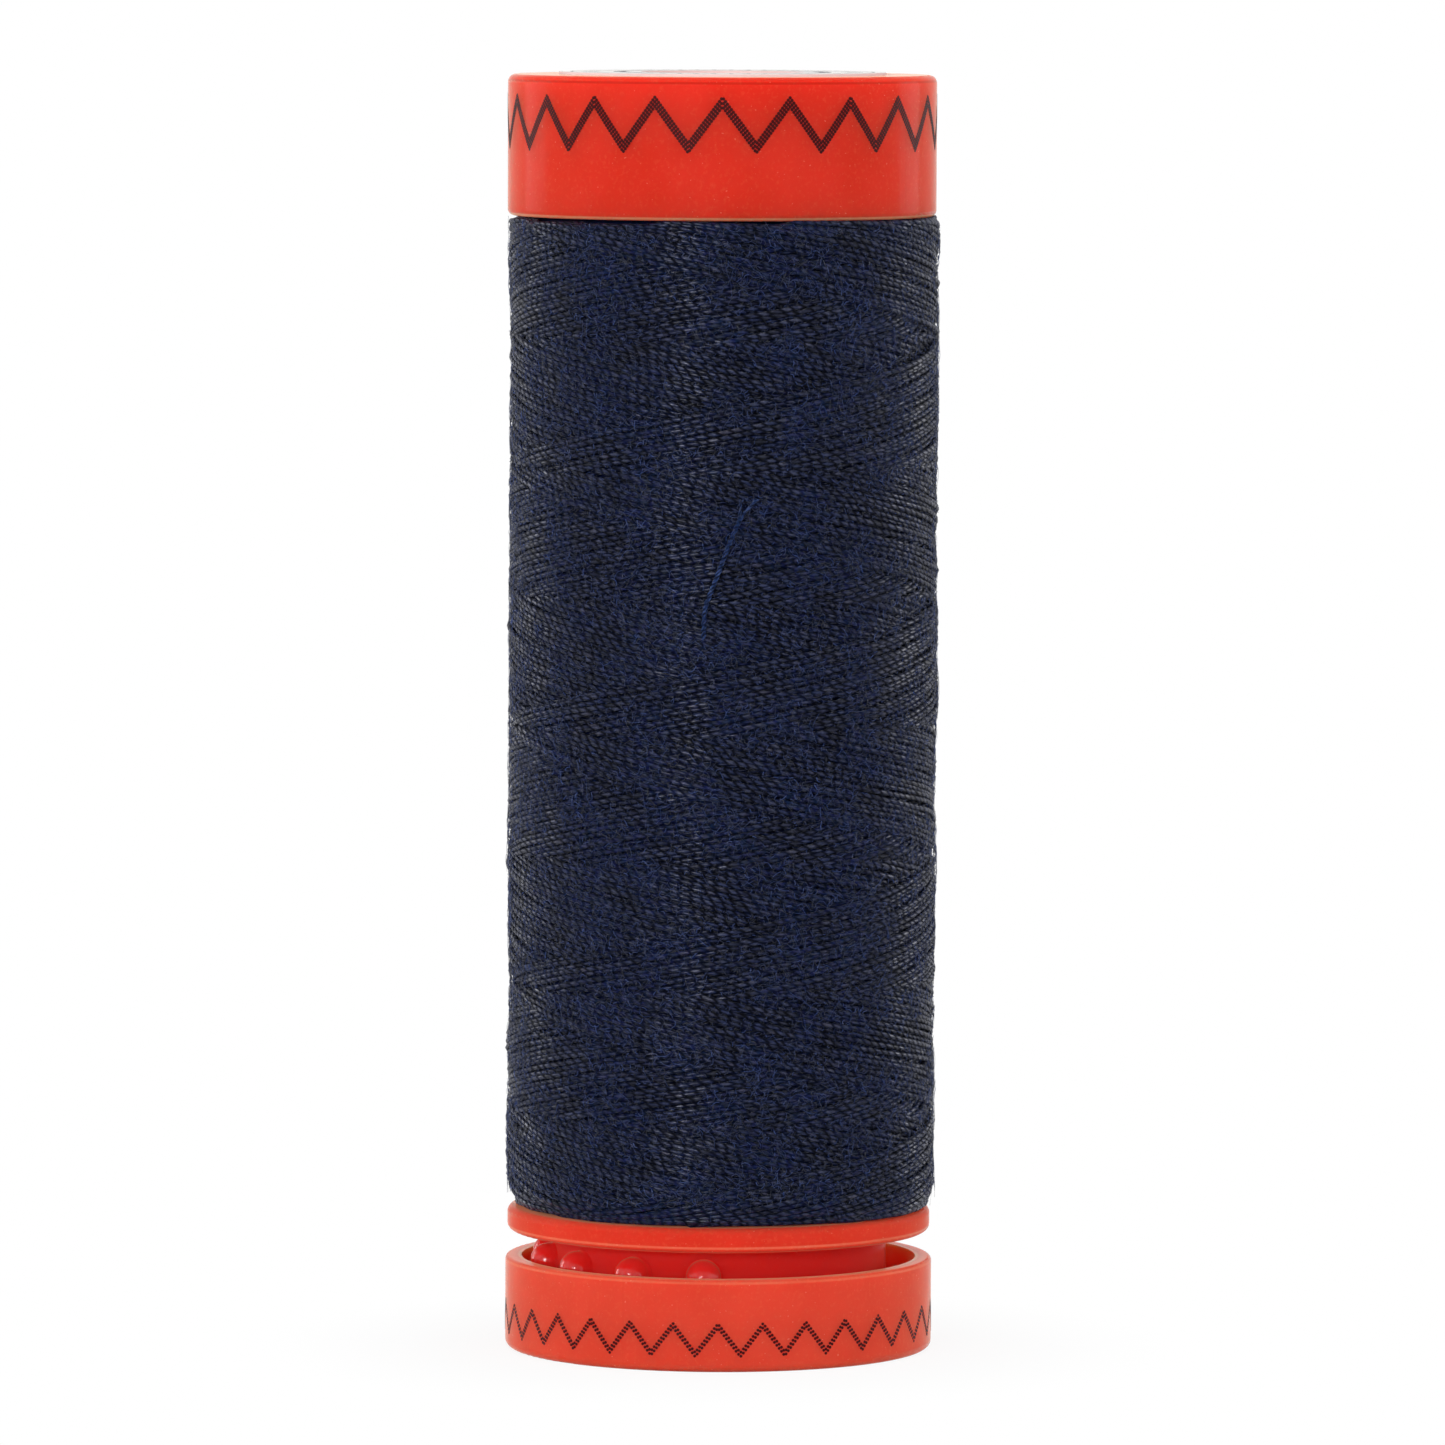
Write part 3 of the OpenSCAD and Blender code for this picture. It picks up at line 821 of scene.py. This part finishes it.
def twisted_plies(material):
    """Turns the host curve into plies that twist round each other and open out at the far end."""
    recipe = Recipe("twisted_plies", {
        "Plies": 3, "Ply": 0.0001, "Twist": 1.0, "Rings": 100, "Fray": 0.0, "Seed": 1,
    })
    path = recipe.add("GeometryNodeResampleCurve", {"mode": "COUNT"}, {
        "Curve": recipe.inputs, "Count": recipe["Rings"],
    })
    copies = recipe.add("GeometryNodeDuplicateElements", {"domain": "SPLINE"}, {
        "Geometry": path, "Amount": recipe["Plies"],
    })
    index = copies["Duplicate Index"]
    run = recipe.add("GeometryNodeSplineParameter")["Length"]
    share = recipe.share()
    turn = TURN * (run / recipe["Twist"] + index / recipe["Plies"])
    fray = share.step(0.82, 1.0) * recipe["Fray"]
    apart = recipe["Ply"] * 1.08 + fray * (0.6 + recipe.random(0.0, 1.0, recipe["Seed"], index))
    aside = recipe.math("COSINE", turn) * apart
    outward = recipe.math("SINE", turn) * apart * 0.8
    offset = recipe.vector(aside, outward, 0.0)
    moved = recipe.add("GeometryNodeSetPosition", None, {"Geometry": copies, "Offset": offset})
    moved = recipe.keep(moved, "along", run)
    moved = recipe.keep(moved, "tint", recipe.random(0.3, 0.9, recipe["Seed"] + 3, index))
    return recipe.end(recipe.sweep(moved, recipe["Ply"], PLY_SIDES), material)


def make_loose_end(material):
    """Makes the three strands, and gives the one that stands for the whole loose end."""
    recipe = twisted_plies(material)
    strands = []
    for name, route, plies, ply, twist, rings, fray in STRANDS:
        strands.append(cook(name, recipe, {
            "Plies": plies, "Ply": ply, "Twist": twist, "Rings": rings, "Fray": fray,
        }, "spool", route_curve(name + "_route", route)))
    return strands[0]


# ================================================================ print


def dotted_stitches(material):
    """A row of small printed dots that zigzags round the part like a machine stitch."""
    recipe = Recipe("dotted_stitches", {
        "Dots": 100, "From": 0.0, "To": 1.0, "Radius": 1.0, "Height": 0.0, "Waves": 4.0,
        "Wave height": 0.0, "Dot": 0.0001, "Ink": 0.00001,
    })
    line = recipe.add("GeometryNodeMeshLine", {"mode": "OFFSET"}, {"Count": recipe["Dots"]})
    share = recipe.add("GeometryNodeInputIndex") / (recipe["Dots"] - 1)
    angle = recipe["From"] + (recipe["To"] - recipe["From"]) * share
    wave = abs(recipe.math("FRACT", share * recipe["Waves"]) - 0.5) * 4 - 1
    height = recipe["Height"] + wave * recipe["Wave height"] / 2
    spots = recipe.put_at(line, recipe.round_the_axis(recipe["Radius"], angle, height))
    outward = recipe.round_the_axis(1.0, angle, 0.0)
    turn = recipe.add("FunctionNodeAlignRotationToVector", {"axis": "Z"}, {"Vector": outward})
    dot = recipe.add("GeometryNodeMeshCylinder", {"fill_type": "NGON"}, {
        "Vertices": DOT_SIDES, "Radius": recipe["Dot"] / 2, "Depth": recipe["Ink"] * 2,
    })
    dots = recipe.add("GeometryNodeInstanceOnPoints", None, {
        "Points": spots, "Instance": dot, "Rotation": turn,
    })
    return recipe.end(dots, material)


def make_print(material):
    """Zigzag rows of printed stitches round the head and round the base."""
    recipe = dotted_stitches(material)
    for row in range(HEAD_ROWS):
        cook(f"print_head_{row + 1}", recipe, {
            "Dots": HEAD_DOTS, "From": -math.pi, "To": math.pi, "Radius": HEAD_R,
            "Height": HEAD_ROW_AT + row * HEAD_ROW_STEP, "Waves": HEAD_WAVES,
            "Wave height": HEAD_WAVE, "Dot": HEAD_DOT, "Ink": INK,
        }, "spool")
    for row in range(BASE_ROWS):
        cook(f"print_base_{row + 1}", recipe, {
            "Dots": BASE_DOTS, "From": -math.pi, "To": math.pi, "Radius": BASE_R,
            "Height": BASE_ROW_AT + row * BASE_ROW_STEP, "Waves": BASE_WAVES,
            "Wave height": BASE_WAVE, "Dot": BASE_DOT, "Ink": INK,
        }, "base")


# ================================================================ studio


def seen_directly(nodes):
    """1 for rays that show the background itself: from the camera, or by way of gloss or glass."""
    path = nodes.add("ShaderNodeLightPath")
    either = nodes.math("MAXIMUM", path["Is Camera Ray"], path["Is Glossy Ray"])
    return nodes.math("MAXIMUM", either, path["Is Transmission Ray"])


def make_floor():
    """A pale floor that keeps the spool's shadow and is plain white further out."""
    mesh = bpy.data.meshes.new("floor")
    sides = ((-1, -1), (1, -1), (1, 1), (-1, 1))
    corners = [(FLOOR_REACH * x, FLOOR_REACH * y, 0.0) for x, y in sides]
    mesh.from_pydata(corners, [], [(0, 1, 2, 3)])
    material = bpy.data.materials.new("pale_floor")
    material.use_nodes = True
    material.node_tree.nodes.clear()
    nodes = Nodes(material.node_tree)
    place = nodes.add("ShaderNodeSeparateXYZ", None, {0: nodes.add("ShaderNodeTexCoord")["Object"]})
    clear = nodes.from_axis(place).step(SHADE_FROM, SHADE_TO)
    white_share = SHADED_WHITE + (1 - SHADED_WHITE) * clear
    matt = nodes.add("ShaderNodeBsdfDiffuse", None, {"Color": FLOOR_GREY})
    white = nodes.add("ShaderNodeEmission", None, {"Color": WHITE, "Strength": 1.0})
    share = seen_directly(nodes) * white_share
    mixed = nodes.add("ShaderNodeMixShader", None, {0: share, 1: matt, 2: white})
    nodes.add("ShaderNodeOutputMaterial", None, {"Surface": mixed})
    mesh.materials.append(material)
    link(bpy.data.objects.new("floor", mesh))


def make_world():
    """Even light from all round, and a background of plain white."""
    world = bpy.data.worlds.new("studio")
    world.use_nodes = True
    world.node_tree.nodes.clear()
    nodes = Nodes(world.node_tree)
    strength = AMBIENT + (1 - AMBIENT) * seen_directly(nodes)
    sky = nodes.add("ShaderNodeBackground", None, {"Color": WHITE, "Strength": strength})
    nodes.add("ShaderNodeOutputWorld", None, {"Surface": sky})
    bpy.context.scene.world = world


def softbox(name, azimuth, elevation, distance, width, height, power):
    """A flat lamp that faces the spool; azimuth runs from the front (-Y) towards +X."""
    lamp = bpy.data.lights.new(name, "AREA")
    lamp.shape = "RECTANGLE"
    lamp.size = width
    lamp.size_y = height
    lamp.energy = power
    holder = link(bpy.data.objects.new(name, lamp))
    across, up = math.radians(azimuth), math.radians(elevation)
    back = Vector((math.sin(across) * math.cos(up), -math.cos(across) * math.cos(up), math.sin(up)))
    holder.location = Vector((0.0, 0.0, AIM_HEIGHT)) + back * distance
    holder.rotation_euler = (-back).to_track_quat("-Z", "Y").to_euler()


def make_camera():
    """A camera with a long lens that looks a little down on the spool."""
    camera = bpy.data.cameras.new("camera")
    camera.sensor_width = SENSOR_WIDTH
    camera.lens = SENSOR_WIDTH * FOCAL_PIXELS / FRAME_PIXELS
    camera.clip_start = NEAREST_SEEN
    camera.clip_end = FURTHEST_SEEN
    holder = link(bpy.data.objects.new("camera", camera))
    back = CAMERA_DISTANCE * math.cos(CAMERA_PITCH)
    place = Vector((CAMERA_SIDE, -back, AIM_HEIGHT + CAMERA_DISTANCE * math.sin(CAMERA_PITCH)))
    tilt = Matrix.Rotation(math.pi / 2 - CAMERA_PITCH, 4, "X")
    holder.matrix_world = Matrix.Translation(place) @ tilt @ Matrix.Rotation(CAMERA_ROLL, 4, "Z")
    bpy.context.scene.camera = holder


# ================================================================ the scene


make_camera()
make_floor()
make_world()
for lamp in LAMPS:
    softbox(*lamp)
bpy.context.scene.view_settings.view_transform = "Standard"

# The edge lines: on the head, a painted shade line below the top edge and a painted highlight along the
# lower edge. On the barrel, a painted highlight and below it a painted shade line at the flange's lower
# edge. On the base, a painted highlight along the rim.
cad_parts["head_cap"].data.materials[0] = moulded_red(
    "red_head", rgb(228, 50, 33), depth=4.0 * MM, spread=(1.0, 0.12, 0.08), shine=0.012,
    seam=math.radians(58), painted_edge_lines=[(HEAD_TOP - 0.28 * MM, -0.5), (HEAD_BOTTOM + 0.1 * MM, 0.5)],
)
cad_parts["barrel"].data.materials[0] = moulded_red(
    "red_barrel", rgb(228, 58, 38), depth=2.6 * MM, spread=(1.0, 0.2, 0.14), shine=0.005,
    seam=math.radians(154), painted_edge_lines=[(FLANGE_LOW + 0.25 * MM, 0.35), (FLANGE_LOW + 0.06 * MM, -0.5)],
)
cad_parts["snap_base"].data.materials[0] = moulded_red(
    "red_base", rgb(236, 74, 53), depth=2.6 * MM, spread=(1.0, 0.4, 0.28), shine=0.015,
    seam=math.radians(-26), painted_edge_lines=[(RIM_HIGH - 0.14 * MM, 0.15)], cup=True,
)
paper = label_paper()
for label in ("top_label", "base_label"):
    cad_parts[label].data.materials[0] = paper

# The ramp's navy stops are the thread's own colour, varying from crown to crown. Its lightest, greyish
# stops are painted glints on the brightest crowns.
thread = spun_polyester("navy_thread", [
    (0.00, rgb(2, 4, 12)), (0.20, rgb(5, 11, 33)), (0.38, rgb(9, 20, 55)), (0.55, rgb(14, 31, 73)),
    (0.72, rgb(26, 34, 66)), (0.86, rgb(50, 43, 60)), (1.00, rgb(84, 66, 70)),
], gloss=1.0)
fibre = loose_fibre("blue_fibre", rgb(4, 9, 28), rgb(38, 66, 132))
tail = spun_polyester("blue_tail", [
    (0.00, rgb(30, 48, 96)), (0.50, rgb(42, 68, 126)), (1.00, rgb(62, 90, 150)),
], gloss=0.4)

for piece in make_winding(thread):
    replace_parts(piece, "thread_turns")
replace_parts(make_under_layers(thread), "thread_core")
make_fibres(fibre)
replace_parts(make_loose_end(tail), "thread_tail")
make_print(printed_ink())
